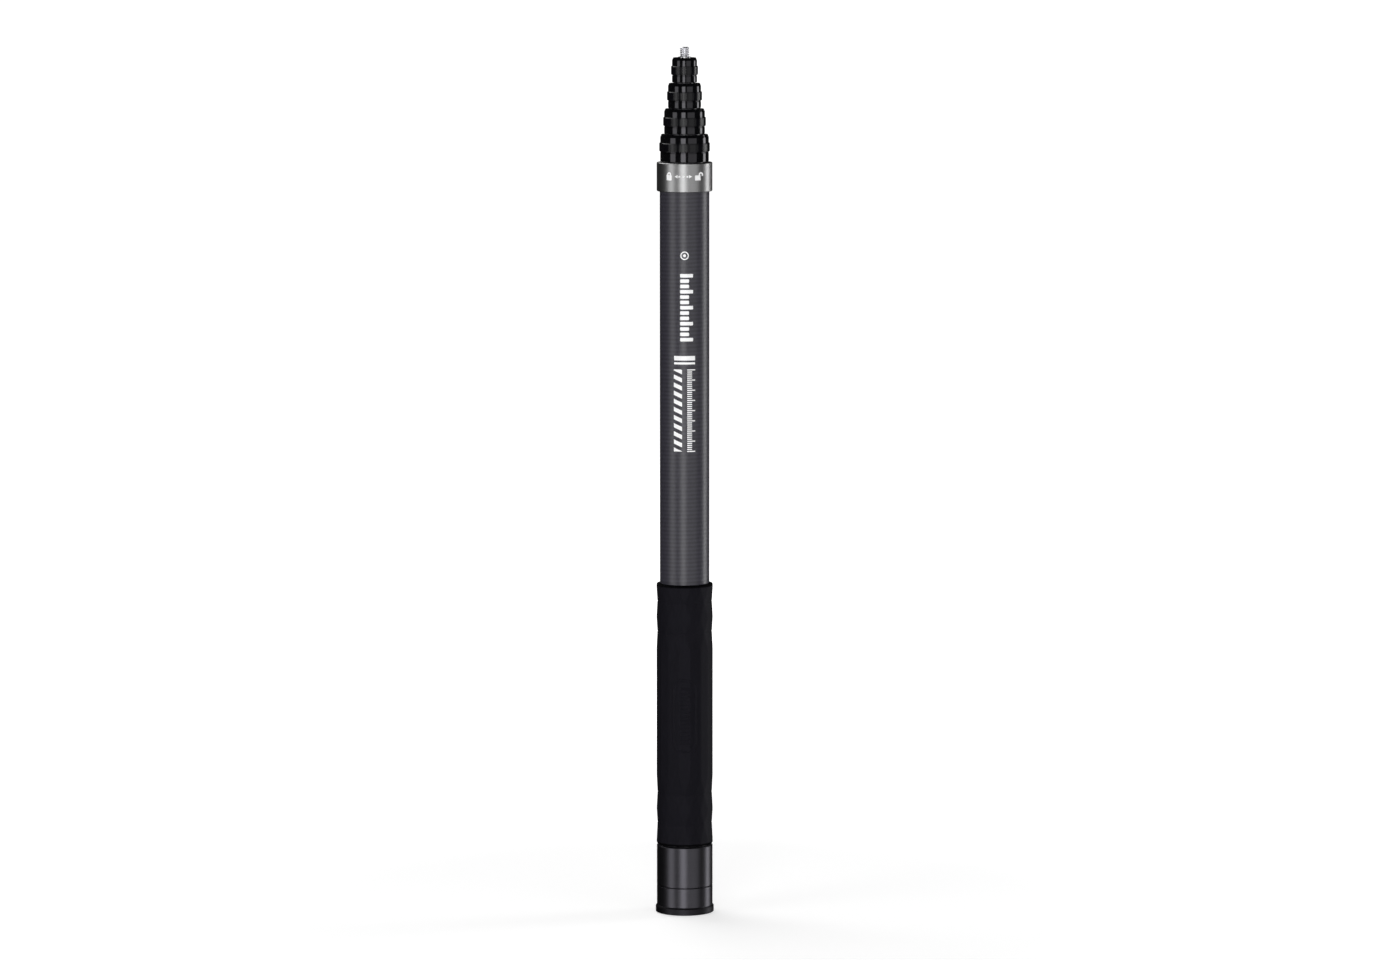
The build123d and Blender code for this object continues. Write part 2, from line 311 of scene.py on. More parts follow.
def gripRubber():
    look = gripLook
    paint = newFinish("gripRubber")
    x, y, z = point = paint.place()
    pores = paint.grain(point, look["poreGrain"])
    dust = paint.grain(point, look["dustGrain"])
    _, bottom, top = reach("hand_grip")
    fromEnd = paint.maths("MINIMUM", z - bottom, top - z)
    awayFromShadedEnds = paint.clamped((fromEnd - look["endWidth"]) / look["endFade"])
    worn = paint.blend(dust, look["base"], look["dusty"])
    # fresh is painted shade: the rubber darkened at both rounded ends, where they face away from the
    # lamps
    fresh = shaded(look["base"], look["paintedEndShade"])
    uneven = look["dustRoughness"] * (dust - 0.5) + look["endRoughness"] * (1 - awayFromShadedEnds)
    return paint.surface({
        "Base Color": paint.blend(awayFromShadedEnds, fresh, worn),
        "Roughness": look["roughness"] + uneven,
        "Specular IOR Level": look["specular"],
        "Specular Tint": look["tint"],
        "Normal": paint.bump(pores, look["poreDepth"]),
    })


mouldedLook = {"poreGrain": (2.0, 2.0), "poreRoughness": 0.15}


def moulded(name, dark, light, roughness, poreDepth):  # plain moulded plastic or rubber
    look = mouldedLook
    paint = newFinish(name)
    pores = paint.grain(paint.place(), look["poreGrain"])
    return paint.surface({
        "Base Color": paint.blend(pores, dark, light),
        "Roughness": roughness + look["poreRoughness"] * (pores - 0.5),
        "Normal": paint.bump(pores, poreDepth),
    })


turnedLook = {"lineGrain": (0.05, 8.0), "lineRoughness": 0.15}


def turnedMetal(name, dark, light, roughness, lineDepth):  # bare metal from a lathe
    look = turnedLook
    paint = newFinish(name)
    lines = paint.grain(paint.place(), look["lineGrain"], latheDetail)
    return paint.surface({
        "Base Color": paint.blend(lines, dark, light),
        "Roughness": roughness + look["lineRoughness"] * (lines - 0.5),
        "Metallic": 1.0,
        "Normal": paint.bump(lines, lineDepth),
    })


inkLook = {
    "worn": colour(0.90, 0.90, 0.91),
    "fresh": colour(0.97, 0.97, 0.97),
    "roughness": 0.42,
    "wearGrain": (2.5, 2.5),
    "wearRoughness": 0.1,
}


def printedInk():
    look = inkLook
    paint = newFinish("printedInk")
    wear = paint.grain(paint.place(), look["wearGrain"])
    return paint.surface({
        "Base Color": paint.blend(wear, look["worn"], look["fresh"]),
        "Roughness": look["roughness"] + look["wearRoughness"] * (wear - 0.5),
    })


finishes = {
    "carbon_tube": carbonTube("carbonTube", True),
    "black_anodised": blackAnodised(),
    "knurled_band": knurledBand(),
    "brushed_grey": brushedGrey(),
    "grip_rubber": gripRubber(),
    "gunmetal": gunmetal(),
    "nylon": moulded(
        "naturalNylon", colour(0.60, 0.58, 0.52), colour(0.68, 0.66, 0.60), 0.45, 0.02
    ),
    "seal_rubber": moulded(
        "sealRubber", colour(0.010, 0.010, 0.010), colour(0.016, 0.016, 0.016), 0.6, 0.03
    ),
    "steel": turnedMetal(
        "brightSteel", colour(0.74, 0.74, 0.77), colour(0.86, 0.86, 0.89), 0.42, 0.002
    ),
    "tip_alloy": turnedMetal(
        "tipAlloy", colour(0.40, 0.40, 0.41), colour(0.50, 0.50, 0.51), 0.28, 0.004
    ),
    "brass": turnedMetal(
        "turnedBrass", colour(0.62, 0.44, 0.18), colour(0.76, 0.57, 0.27), 0.28, 0.004
    ),
}
woundCarbon = carbonTube("woundCarbon", False)
ink = printedInk()

for node in nodes.values():  # each node came in with a material named after its slot
    slotName = node.data.materials[0].name
    node.material_slots[0].material = finishes[slotName]
print("finishes made")


# shapes round the pole's axis, in millimetres
def ring(radius, height, angles):  # radius is a number, or one for each angle
    radii = radius if np.ndim(radius) else [radius] * len(angles)
    return [(r * math.cos(a), r * math.sin(a), height) for r, a in zip(radii, angles)]


def evenly(count, start=0.0):
    return [start + turn * index / count for index in range(count)]


def joinRings(rings, closed, split=None):  # faces between neighbouring rings, low to high
    count = len(rings[0])
    pairs = [(row, row + 1) for row in range(len(rings) - 1)]
    if closed:
        pairs.append((len(rings) - 1, 0))
    faces = []
    for low, high in pairs:
        for column in range(count):
            beside = (column + 1) % count
            below = (low * count + column, low * count + beside)
            above = (high * count + beside, high * count + column)
            corners = below + above
            if split is None:
                faces.append(corners)
            elif split(low, column):
                faces += [(corners[0], corners[1], corners[2]), (corners[0], corners[2], corners[3])]
            else:
                faces += [(corners[0], corners[1], corners[3]), (corners[1], corners[2], corners[3])]
    if not closed:
        faces.append(tuple(reversed(range(count))))
        faces.append(tuple(range(count * (len(rings) - 1), count * len(rings))))
    return faces


def makePiece(name, points, faces, finish, sharpAngle):
    mesh = bpy.data.meshes.new(name)
    mesh.from_pydata([(x * mm, y * mm, z * mm) for x, y, z in points], [], faces)
    mesh.materials.append(finish)
    mesh.shade_smooth()
    mesh.set_sharp_from_angle(angle=math.radians(sharpAngle))
    piece = bpy.data.objects.new(name, mesh)
    scene.collection.objects.link(piece)
    return piece


def makeTurned(name, rings, closed, finish, sharpAngle, split=None):
    points = [point for row in rings for point in row]
    return makePiece(name, points, joinRings(rings, closed, split), finish, sharpAngle)


def steps(start, end, longest):  # evenly spaced values, both ends included
    count = max(1, math.ceil(abs(end - start) / longest))
    return [start + (end - start) * index / count for index in range(count + 1)]


# outer tube with the winding's fine helical ridges
outerTube = {
    "wall": 1.1,
    "grooveDepth": 0.45,
    "grooveWidth": 2.8,
    "grooveLean": 0.002,  # radians by which the groove's walls lean
    "ridgeDepth": 0.05,
    "ridgeOverlap": 1.0,  # the ridges run in under the grip and the grey ring
    "columns": 112,
    "rowStep": 0.325,
    "sharpAngle": 40,
}


def makeOuterTube():
    size = outerTube
    radius, bottom, top = reach("outer_tube")
    boreRadius = radius - size["wall"]
    grooveRadius = boreRadius + size["grooveDepth"]
    halfGroove = math.asin(size["grooveWidth"] / 2 / grooveRadius)
    edges = []
    for side in (0, turn / 2):
        for half in (halfGroove, halfGroove + size["grooveLean"]):
            edges += [side - half, side + half]
    angles = sorted(set(angle % turn for angle in evenly(size["columns"]) + edges))
    ridgedFrom = reach("hand_grip")[2] - size["ridgeOverlap"]
    ridgedTo = reach("lock_ring_1")[1] + size["ridgeOverlap"]

    rings = []
    for height in [bottom] + steps(ridgedFrom, ridgedTo, size["rowStep"]) + [top]:
        phase = turn * (height / carbonLook["ridgePitch"])
        fade = min(1, max(0, min(height - ridgedFrom, ridgedTo - height)))  # over one millimetre
        deep = size["ridgeDepth"] * fade
        radii = [radius - deep * (0.5 - 0.5 * math.cos(phase - angle)) for angle in angles]
        rings.append(ring(radii, height, angles))
    bore = []
    for angle in angles:
        side = abs((angle + turn / 4) % (turn / 2) - turn / 4)
        bore.append(grooveRadius if side <= halfGroove + tiny else boreRadius)
    rings += [ring(bore, top, angles), ring(bore, bottom, angles)]
    piece = makeTurned("outerTube", rings, True, woundCarbon, size["sharpAngle"])
    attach(piece, "handle")
    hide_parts("outer_tube")


makeOuterTube()
print("outer tube wound")


# hand grip, sixteen soft facets that cross over at the waists
handGrip = {
    "sides": 16,
    "crestProud": 0.20,  # how far the corners stand out of the round section
    "waistDepth": 0.70,
    "cornerSoftness": 0.025,
    "leastLean": 0.2,  # walls turned further away than this count as far out
    "farOut": 99.0,
    "creaseDepth": 0.16,  # a fine fold line runs round each waist
    "creaseHalfWidth": 0.5,
    "creaseClear": 0.7,  # no other row of the mesh comes nearer to a crease
    "endRound": 1.5,
    "endSteps": (0.0, 0.05, 0.15, 0.3, 0.5, 0.75, 1.1, 1.5),  # rows of the mesh in the rounding
    "lowerWaves": (2.4, 14.0, 23.5, 34.1, 46.0),  # crests and waists, up from the lower end
    "upperWaves": (2.4, 11.8, 22.1, 31.7, 42.9),  # the same, down from the upper end
    "waveMargin": 4.0,  # the fine rows go on this far past the waves
    "bondGap": 0.03,
    "rowStep": 0.8,
    "plainRowStep": 3.0,
    "columnStep": 2.5,  # degrees
    "blurs": 1,
    "sharpAngle": 50,
}
gripPanel = {
    "bottom": 63.0,  # above the grip's lower end
    "top": 110.0,
    "halfWidth": 7.8,
    "corner": 7.0,
    "line": 1.0,
    "ribs": 15,
    "ribPitch": 2.55,
    "ribHeight": 1.15,
    "ribHalfWidth": 2.9,
    "height": 0.30,
    "slope": 0.4,
    "step": 0.36,
    "margin": 1.2,  # the fine mesh goes on this far past the frame
}


def facetRadius(angles, height, levels):  # the grip's section between two rings of corners
    for low, high in zip(levels, levels[1:]):
        if low[0] <= height <= high[0]:
            break
    share = min(1, max(0, (height - low[0]) / (high[0] - low[0])))
    sides = handGrip["sides"]
    rims = []
    for _, radius, twist in (low, high):
        cornerAngles = evenly(sides, turn * twist / sides)
        rims.append([Vector((radius * math.cos(a), radius * math.sin(a))) for a in cornerAngles])
    shift = high[2] - low[2]
    corners = []
    for index in range(sides):
        here, there = rims[0][index], rims[1][index]
        beside = (index + 1) % sides
        corners.append(here.lerp(there, share))
        if shift < 0:
            corners.append(here.lerp(rims[1][beside], share))
        elif shift > 0:
            corners.append(rims[0][beside].lerp(there, share))
    least, farOut = handGrip["leastLean"], handGrip["farOut"]
    walls = []
    for first, second in zip(corners, corners[1:] + corners[:1]):
        along = second - first
        if along.length > tiny:
            outward = Vector((along.y, -along.x)).normalized()
            lean = np.cos(angles - math.atan2(outward.y, outward.x))
            met = outward.dot(first) / np.maximum(lean, least)
            walls.append(np.where(lean > least, met, farOut))
    walls = np.array(walls)
    nearest = walls.min(axis=0)
    softness = handGrip["cornerSoftness"]
    return nearest - softness * np.log(np.exp(-(walls - nearest) / softness).sum(axis=0))


def roundedBox(across, up, halfWidth, halfHeight, corner):  # distance outside its edge
    sideways = np.abs(across) - halfWidth + corner
    upward = np.abs(up) - halfHeight + corner
    outside = np.hypot(np.maximum(sideways, 0), np.maximum(upward, 0))
    return outside + np.minimum(np.maximum(sideways, upward), 0) - corner


def panelHeight(across, up):  # raised rounded frame with a ladder of ribs, plain ornament
    size = gripPanel
    halfHeight = (size["top"] - size["bottom"]) / 2
    middle = (size["top"] + size["bottom"]) / 2
    up = up - middle
    edge = roundedBox(across, up, size["halfWidth"], halfHeight, size["corner"])
    raised = np.clip(0.5 - (np.abs(edge) - size["line"] / 2) / size["slope"], 0, 1)
    halfRib = size["ribHeight"] / 2
    for index in range(size["ribs"]):
        place = (index - (size["ribs"] - 1) / 2) * size["ribPitch"]
        rib = roundedBox(across, up - place, size["ribHalfWidth"], halfRib, halfRib)
        raised = np.maximum(raised, np.clip(0.5 - rib / size["slope"], 0, 1))
    return raised * size["height"]


def gripLevels(radius, length):  # rings of corners as height, radius and twist, and the waists' heights
    size = handGrip
    crest, waist = (radius + size["crestProud"], 0.5), (radius - size["waistDepth"], 0)

    def level(index, height):  # crests and waists by turns
        return (height, *(waist if index % 2 else crest))

    lower = [level(index, height) for index, height in enumerate(size["lowerWaves"])]
    upper = [level(index, length - depth) for index, depth in enumerate(size["upperWaves"])]
    folds = [height for height, _, twist in lower + upper if twist == 0]
    return [(0, *crest)] + lower + upper[::-1] + [(length, *crest)], folds


def gripHeights(length, folds):  # rows of the mesh, close together where the shape needs it
    size, panel = handGrip, gripPanel
    lowEnd = size["lowerWaves"][-1] + size["waveMargin"]
    highStart = length - size["upperWaves"][-1] - size["waveMargin"]
    panelLow, panelHigh = panel["bottom"] - panel["margin"], panel["top"] + panel["margin"]
    runs = [
        (size["endRound"], lowEnd, size["rowStep"]),
        (lowEnd, panelLow, size["plainRowStep"]),
        (panelLow, panelHigh, panel["step"]),
        (panelHigh, highStart, size["plainRowStep"]),
        (highStart, length - size["endRound"], size["rowStep"]),
    ]
    ends = size["endSteps"]
    heights = list(ends[:-1])
    for start, end, step in runs:
        heights += steps(start, end, step)[:-1]
    heights += [length - end for end in reversed(ends)]
    clear, fold = size["creaseClear"], size["creaseHalfWidth"]
    heights = [height for height in heights if min(abs(height - line) for line in folds) > clear]
    return sorted(heights + [line + side for line in folds for side in (-fold, 0, fold)])


def makeHandGrip():
    size, panel = handGrip, gripPanel
    radius, bottom, top = reach("hand_grip")
    length = top - bottom
    levels, folds = gripLevels(radius, length)
    heights = gripHeights(length, folds)
    front = -turn / 4
    side = (panel["halfWidth"] + panel["margin"]) / radius
    fine = steps(front - side, front + side, panel["step"] / radius)
    coarse = steps(front + side, front + turn - side, math.radians(size["columnStep"]))
    angles = np.array(fine + coarse[1:-1])

    grid = np.array([facetRadius(angles, height, levels) for height in heights])
    for _ in range(size["blurs"]):
        grid[1:-1] = (grid[:-2] + 2 * grid[1:-1] + grid[2:]) / 4
    across = (angles - front) * radius
    endRound = size["endRound"]
    for row, height in enumerate(heights):
        near = min(height, length - height)
        if near < endRound:
            grid[row] -= endRound - math.sqrt(endRound ** 2 - (endRound - near) ** 2)
        else:
            off = min(abs(height - line) for line in folds) / size["creaseHalfWidth"]
            grid[row] += panelHeight(across, height) - size["creaseDepth"] * max(0, 1 - off)
    rings = [ring(row, bottom + height, angles) for row, height in zip(grid, heights)]
    inner = reach("outer_tube")[0] + size["bondGap"]
    rings += [ring(inner, top, angles), ring(inner, bottom, angles)]
    piece = makeTurned("handGrip", rings, True, finishes["grip_rubber"], size["sharpAngle"])
    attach(piece, "handle")
    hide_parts("hand_grip")


makeHandGrip()
print("hand grip moulded")


# knurled bands of the four inner locks
knurl = {
    "pitchRound": 1.27,
    "pitchUp": 1.7,
    "depth": 0.034,
    "chamfer": 0.3,
    "bandThickness": 0.98,
    "sharpAngle": 5,
}


def makeKnurlBand(number):
    size = knurl
    radius, bottom, top = reach(f"grip_band_{number}")
    columns = 2 * round(turn * radius / size["pitchRound"])
    angles = evenly(columns)
    low, high = bottom + size["chamfer"], top - size["chamfer"]
    rows = 2 * round((high - low) / size["pitchUp"])
    rings = [ring(radius - size["chamfer"], bottom, angles)]
    for row in range(rows + 1):
        height = low + (high - low) * row / rows
        radii = [radius - size["depth"] * ((row + column) % 2 == 1) for column in range(columns)]
        rings.append(ring(radii, height, angles))
    rings.append(ring(radius - size["chamfer"], top, angles))
    inner = radius - size["bandThickness"]
    rings += [ring(inner, top, angles), ring(inner, bottom, angles)]

    def lowCorner(row, column):  # a cell is split along its two low corners
        return (row + column) % 2 == 0

    finish = finishes["knurled_band"]
    piece = makeTurned(f"knurlBand_{number}", rings, True, finish, size["sharpAngle"], lowCorner)
    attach(piece, f"lock_{number}")
    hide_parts(f"grip_band_{number}")


for number in range(2, 6):
    makeKnurlBand(number)
print("bands knurled")


# threads: a helical vee with flats at crest and root
vee = {"flat": 0.18, "flank": 0.64}  # shares of half a pitch


def threadRings(size, radius, start, end, angles, chamfer=0.0):  # the chamfer is at the end
    rings = []
    for height in steps(start, end, size["threadPitch"] / size["rowsPerPitch"]):
        limit = radius - chamfer + abs(end - height)
        radii = []
        for angle in angles:
            phase = (height / size["threadPitch"] - angle / turn) % 1
            slope = (abs(phase - 0.5) * 2 - vee["flat"]) / vee["flank"]
            radii.append(min(limit, radius - size["threadDepth"] * min(1, max(0, slope))))
        rings.append(ring(radii, height, angles))
    return rings


# tip stud
tipStud = {
    "threadPitch": 1.27,
    "threadDepth": 0.62,
    "threadLength": 6.35,
    "chamfer": 0.7,
    "shankRadius": 1.6,
    "shankChamfer": 0.2,
    "columns": 72,
    "rowsPerPitch": 12,
    "sharpAngle": 35,
}


def makeTipStud():
    size = tipStud
    radius, bottom, top = reach("tip_stud")
    shoulder = top - size["threadLength"]
    angles = evenly(size["columns"])
    shank, corner = size["shankRadius"], size["shankChamfer"]
    face = radius - size["chamfer"] - size["threadDepth"] / 2
    rings = [ring(shank - corner, bottom, angles), ring(shank, bottom + corner, angles)]
    rings.append(ring(shank, shoulder, angles))
    rings += threadRings(size, radius, shoulder, top, angles, size["chamfer"])
    rings.append(ring(face, top, angles))
    piece = makeTurned("tipStud", rings, False, finishes["steel"], size["sharpAngle"])
    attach(piece, "section_6")
    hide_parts("tip_stud")


makeTipStud()
print("tip stud threaded")


# end cap: foot flange, ring and threaded spigot, and the threaded insert in its middle
endCap = {
    "bondGap": 0.03,
    "padHole": 7.0,  # radius
    "flangeChamfer": 0.3,
    "flangeTop": 4.1,
    "slope": 1.0,
    "ringChamfer": 0.3,
    "seam": 0.5,
    "spigotRadius": 16.85,
    "grooveRadius": 15.87,  # the O-ring sits in this groove
    "groove": (0.8, 2.0),  # above the ring
    "boreRadius": 15.45,
    "threadPitch": 1.5,
    "threadDepth": 0.5,
    "threadChamfer": 0.4,
    "columns": 144,
    "rowsPerPitch": 12,
    "sharpAngle": 30,
}


def makeEndCap():
    size = endCap
    gap = size["bondGap"]
    low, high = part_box("end_cap")
    radius = min(-low.x, -low.y, high.x, high.y) / mm  # stays inside the many-sided CAD rim
    bottom, top = low.z / mm, high.z / mm
    insertRadius, _, cupFloor = reach("cap_insert")
    padRadius, _, padTop = reach("foot_pad")
    ringRadius, seamTop, _ = reach("base_sleeve")
    ringTop = seamTop - size["seam"]
    chamfer, corner = size["flangeChamfer"], size["ringChamfer"]
    spigot, bore = size["spigotRadius"], size["boreRadius"]
    grooveBottom, grooveTop = (ringTop + height for height in size["groove"])
    profile = [
        (insertRadius + gap, bottom),
        (size["padHole"] - gap, bottom),
        (size["padHole"] - gap, padTop),
        (padRadius + gap, padTop),
        (padRadius + gap, bottom),
        (radius - chamfer, bottom),
        (radius, bottom + chamfer),
        (radius, size["flangeTop"]),
        (ringRadius, size["flangeTop"] + size["slope"]),
        (ringRadius, ringTop - corner),
        (ringRadius - corner, ringTop),
        (spigot, ringTop),
        (spigot, grooveBottom),
        (size["grooveRadius"], grooveBottom),
        (size["grooveRadius"], grooveTop),
    ]
    inside = [(bore, top), (bore, cupFloor), (insertRadius + gap, cupFloor)]
    angles = evenly(size["columns"])
    rings = [ring(across, height, angles) for across, height in profile]
    rings += threadRings(size, spigot, grooveTop, top, angles, size["threadChamfer"])
    rings += [ring(across, height, angles) for across, height in inside]
    piece = makeTurned("endCap", rings, True, finishes["gunmetal"], size["sharpAngle"])
    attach(piece, "cap")
    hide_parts("end_cap")


capInsert = {
    "boreRadius": 3.175,
    "threadPitch": 1.27,
    "threadDepth": 0.5,
    "columns": 72,
    "rowsPerPitch": 12,
    "sharpAngle": 35,
}


def makeCapInsert():
    size = capInsert
    radius, bottom, top = reach("cap_insert")
    angles = evenly(size["columns"])
    rings = [ring(radius, bottom, angles), ring(radius, top, angles)]
    rings += threadRings(size, size["boreRadius"], top, bottom, angles)
    piece = makeTurned("capInsert", rings, True, finishes["brass"], size["sharpAngle"])
    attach(piece, "cap")
    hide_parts("cap_insert")


makeEndCap()
makeCapInsert()
print("end cap threaded")


# printed marks, thin ink plates bent round the pole; across is to the right of the front line
inkPlate = {
    "sunk": 0.06,  # below the surface that the plate lies on
    "thickness": 0.075,
    "bendStep": 0.5,  # before it is bent, the plate is cut into strips no wider than this
    "weld": 0.001,
    "cutSlack": 0.0001,
}
arcStep = turn / 24  # the longest step round a drawn curve


def box(left, right, bottom, top):
    return [(left, bottom), (right, bottom), (right, top), (left, top)]


def disc(across, height, radius, count=40):
    return [(across + radius * math.cos(a), height + radius * math.sin(a)) for a in evenly(count)]


def arc(across, height, radius, start, end):
    angles = steps(start, end, arcStep)
    return [(across + radius * math.cos(a), height + radius * math.sin(a)) for a in angles]


def roundBar(left, right, bottom, top, radius):
    sides = (right - radius, left + radius, left + radius, right - radius)
    ends = (top - radius, top - radius, bottom + radius, bottom + radius)
    loop = []
    for quarter, (across, height) in enumerate(zip(sides, ends)):
        loop += arc(across, height, radius, turn * quarter / 4, turn * (quarter + 1) / 4)
    return loop


def shackle(left, right, leftFoot, rightFoot, top, line):  # an arch with two legs
    middle = (left + right) / 2
    outer = (right - left) / 2
    spring = top - outer
    over = arc(middle, spring, outer, turn / 2, 0)
    under = arc(middle, spring, outer - line, 0, turn / 2)
    feet = [(right, rightFoot), (right - line, rightFoot)]
    return [(left, leftFoot)] + over + feet + under + [(left + line, leftFoot)]


def clipped(loop, low, high):  # a loop kept between two heights
    kept = loop
    for limit, sign in ((low, 1), (high, -1)):
        source, kept = kept, []
        for first, second in zip(source, source[1:] + source[:1]):
            inFirst = sign * (first[1] - limit) >= 0
            inSecond = sign * (second[1] - limit) >= 0
            if inFirst:
                kept.append(first)
            if inFirst != inSecond:
                share = (limit - first[1]) / (second[1] - first[1])
                kept.append((first[0] + (second[0] - first[0]) * share, limit))
    return kept


def flatDrawing(name, loops):  # a flat mesh that fills the loops; one inside another is a hole
    drawing = bpy.data.curves.new(name, "CURVE")
    drawing.dimensions = "2D"
    drawing.fill_mode = "BOTH"
    for loop in loops:
        spline = drawing.splines.new("POLY")
        spline.points.add(len(loop) - 1)
        for point, (across, height) in zip(spline.points, loop):
            point.co = (across, height, 0, 1)
        spline.use_cyclic_u = True
    holder = bpy.data.objects.new(name, drawing)
    scene.collection.objects.link(holder)
    flat = bpy.data.meshes.new_from_object(holder)
    bpy.data.objects.remove(holder)
    return flat


def makePrint(name, loops, radius, body):
    size = inkPlate
    flat = flatDrawing(name, loops)
    sheet = bmesh.new()
    sheet.from_mesh(flat)
    bmesh.ops.remove_doubles(sheet, verts=sheet.verts, dist=size["weld"])
    acrossAll = [vert.co.x for vert in sheet.verts]
    for cut in steps(min(acrossAll), max(acrossAll), size["bendStep"])[1:-1]:
        everything = sheet.verts[:] + sheet.edges[:] + sheet.faces[:]
        cutAt = {"plane_co": (cut, 0, 0), "plane_no": (1, 0, 0)}
        bmesh.ops.bisect_plane(sheet, geom=everything, dist=size["cutSlack"], **cutAt)
    for face in sheet.faces:
        face.normal_update()
        if face.normal.z < 0:
            face.normal_flip()
    base = radius - size["sunk"]
    for vert in sheet.verts:
        lean = vert.co.x / radius
        vert.co = (base * math.sin(lean) * mm, -base * math.cos(lean) * mm, vert.co.y * mm)
    mesh = bpy.data.meshes.new(name)
    sheet.to_mesh(mesh)
    sheet.free()
    bpy.data.meshes.remove(flat)
    mesh.materials.append(ink)
    piece = bpy.data.objects.new(name, mesh)
    scene.collection.objects.link(piece)
    thick = piece.modifiers.new("thickness", "SOLIDIFY")
    thick.thickness = size["thickness"] * mm
    thick.offset = 1
    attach(piece, body)


tubeMarks = {  # heights are measured down from the grey ring's lower edge
    "ringMark": (0.0, 40.8, 2.75, 2.05, 0.95),  # across, depth, outer, inner and dot radius
    "scaleTop": 52.6,
    "scaleBars": 13,
    "scalePitch": 3.45,
    "scaleBarHeight": 2.3,
    "scaleCorner": 0.5,
    "scaleShort": (-2.9, 2.9),
    "scaleLong": (-2.9, 5.6),
    "scaleLongEvery": 3,
    "thickBar": (105.8, 108.7),
    "thinBar": (109.9, 111.3),
    "barHalfWidth": 6.97,
    "barCorner": 0.2,
    "columnTop": 114.5,
    "columnBottom": 167.9,
    "stripeLeft": -7.17,
    "stripeRight": -1.69,
    "stripeFirst": 112.5,
    "stripePitch": 5.28,
    "stripeHeight": 2.75,
    "stripeDrop": 2.4,
    "tickLeft": 1.7,
    "tickShort": 4.9,
    "tickLong": 7.0,
    "tickPitch": 1.325,
    "tickHeight": 0.68,
    "tickLongEvery": 5,
}


def makeTubeMarks():
    size = tubeMarks
    datum = reach("lock_ring_1")[1]
    radius = reach("outer_tube")[0]

    across, depth, outer, inner, dot = size["ringMark"]
    loops = [disc(across, datum - depth, edge) for edge in (outer, inner, dot)]
    makePrint("ringMark", loops, radius, "handle")

    loops = []
    for index in range(size["scaleBars"]):
        top = datum - size["scaleTop"] - index * size["scalePitch"]
        left, right = size["scaleShort"] if index % size["scaleLongEvery"] else size["scaleLong"]
        bottom = top - size["scaleBarHeight"]
        loops.append(roundBar(left, right, bottom, top, size["scaleCorner"]))
    makePrint("scaleMark", loops, radius, "handle")

    half = size["barHalfWidth"]
    loops = []
    for top, bottom in (size["thickBar"], size["thinBar"]):
        loops.append(roundBar(-half, half, datum - bottom, datum - top, size["barCorner"]))
    makePrint("barMarks", loops, radius, "handle")

    low, high = datum - size["columnBottom"], datum - size["columnTop"]
    left, right = size["stripeLeft"], size["stripeRight"]
    drop = size["stripeDrop"]
    loops = []
    top = datum - size["stripeFirst"]
    while top > low:
        bottom = top - size["stripeHeight"]
        stripe = [(left, bottom), (right, bottom - drop), (right, top - drop), (left, top)]
        loops.append(clipped(stripe, low, high))
        top -= size["stripePitch"]
    makePrint("stripeMarks", loops, radius, "handle")

    loops = []
    for index in range(int((high - low) / size["tickPitch"]) + 1):
        top = high - index * size["tickPitch"]
        end = size["tickShort"] if index % size["tickLongEvery"] else size["tickLong"]
        loops.append(box(size["tickLeft"], end, top - size["tickHeight"], top))
    makePrint("tickMarks", loops, radius, "handle")


makeTubeMarks()

ringMarks = {  # heights are measured up from the grey ring's lower edge
    "middle": 10.35,
    "bodyBottom": 7.8,
    "bodyTop": 11.15,
    "bodyCorner": 0.4,
    "footSink": 0.001,  # a shackle's foot ends just inside the lock's body
    "shackleTop": 13.2,
    "line": 1.0,
    "closedBody": (-12.56, -8.67),
    "closedShackle": (-12.1, -9.1),
    "openBody": (6.9, 10.96),
    "openShackle": (9.55, 13.07),
    "openFoot": 10.6,
    "arrowHeads": ((-6.55, -4.6), (5.1, 2.9)),  # tip and base
    "arrowHalf": 1.05,
    "dashes": ((-4.0, -2.8), (1.3, 2.4)),
    "dashHalf": 0.52,
    "dot": (-0.7, 0.6),
}


def makeRingMarks():
    size = ringMarks
    radius, datum, _ = reach("lock_ring_1")
    bottom, top = datum + size["bodyBottom"], datum + size["bodyTop"]
    foot = top - size["footSink"]
    crown = datum + size["shackleTop"]
    middle = datum + size["middle"]

    closed = [
        roundBar(*size["closedBody"], bottom, top, size["bodyCorner"]),
        shackle(*size["closedShackle"], foot, foot, crown, size["line"]),
    ]
    makePrint("closedLockMark", closed, radius, "lock_1")

    opened = [
        roundBar(*size["openBody"], bottom, top, size["bodyCorner"]),
        shackle(*size["openShackle"], foot, datum + size["openFoot"], crown, size["line"]),
    ]
    makePrint("openLockMark", opened, radius, "lock_1")

    half = size["arrowHalf"]
    loops = []
    for tip, base in size["arrowHeads"]:
        loops.append([(tip, middle), (base, middle - half), (base, middle + half)])
    for start, end in size["dashes"]:
        loops.append(box(start, end, middle - size["dashHalf"], middle + size["dashHalf"]))
    loops.append(disc(size["dot"][0], middle, size["dot"][1]))
    makePrint("turnMarks", loops, radius, "lock_1")


makeRingMarks()
print("marks printed")


# stage: floor, world, light strips and camera
stage = {
    "floorHalf": 30.0,  # metres
    "floorColour": colour(0.70, 0.70, 0.70),
    "floorGlow": 0.52,  # the camera sees this much glow beside the pole, and full glow far off
    "glowNear": 0.25,
    "glowFar": 0.80,
}


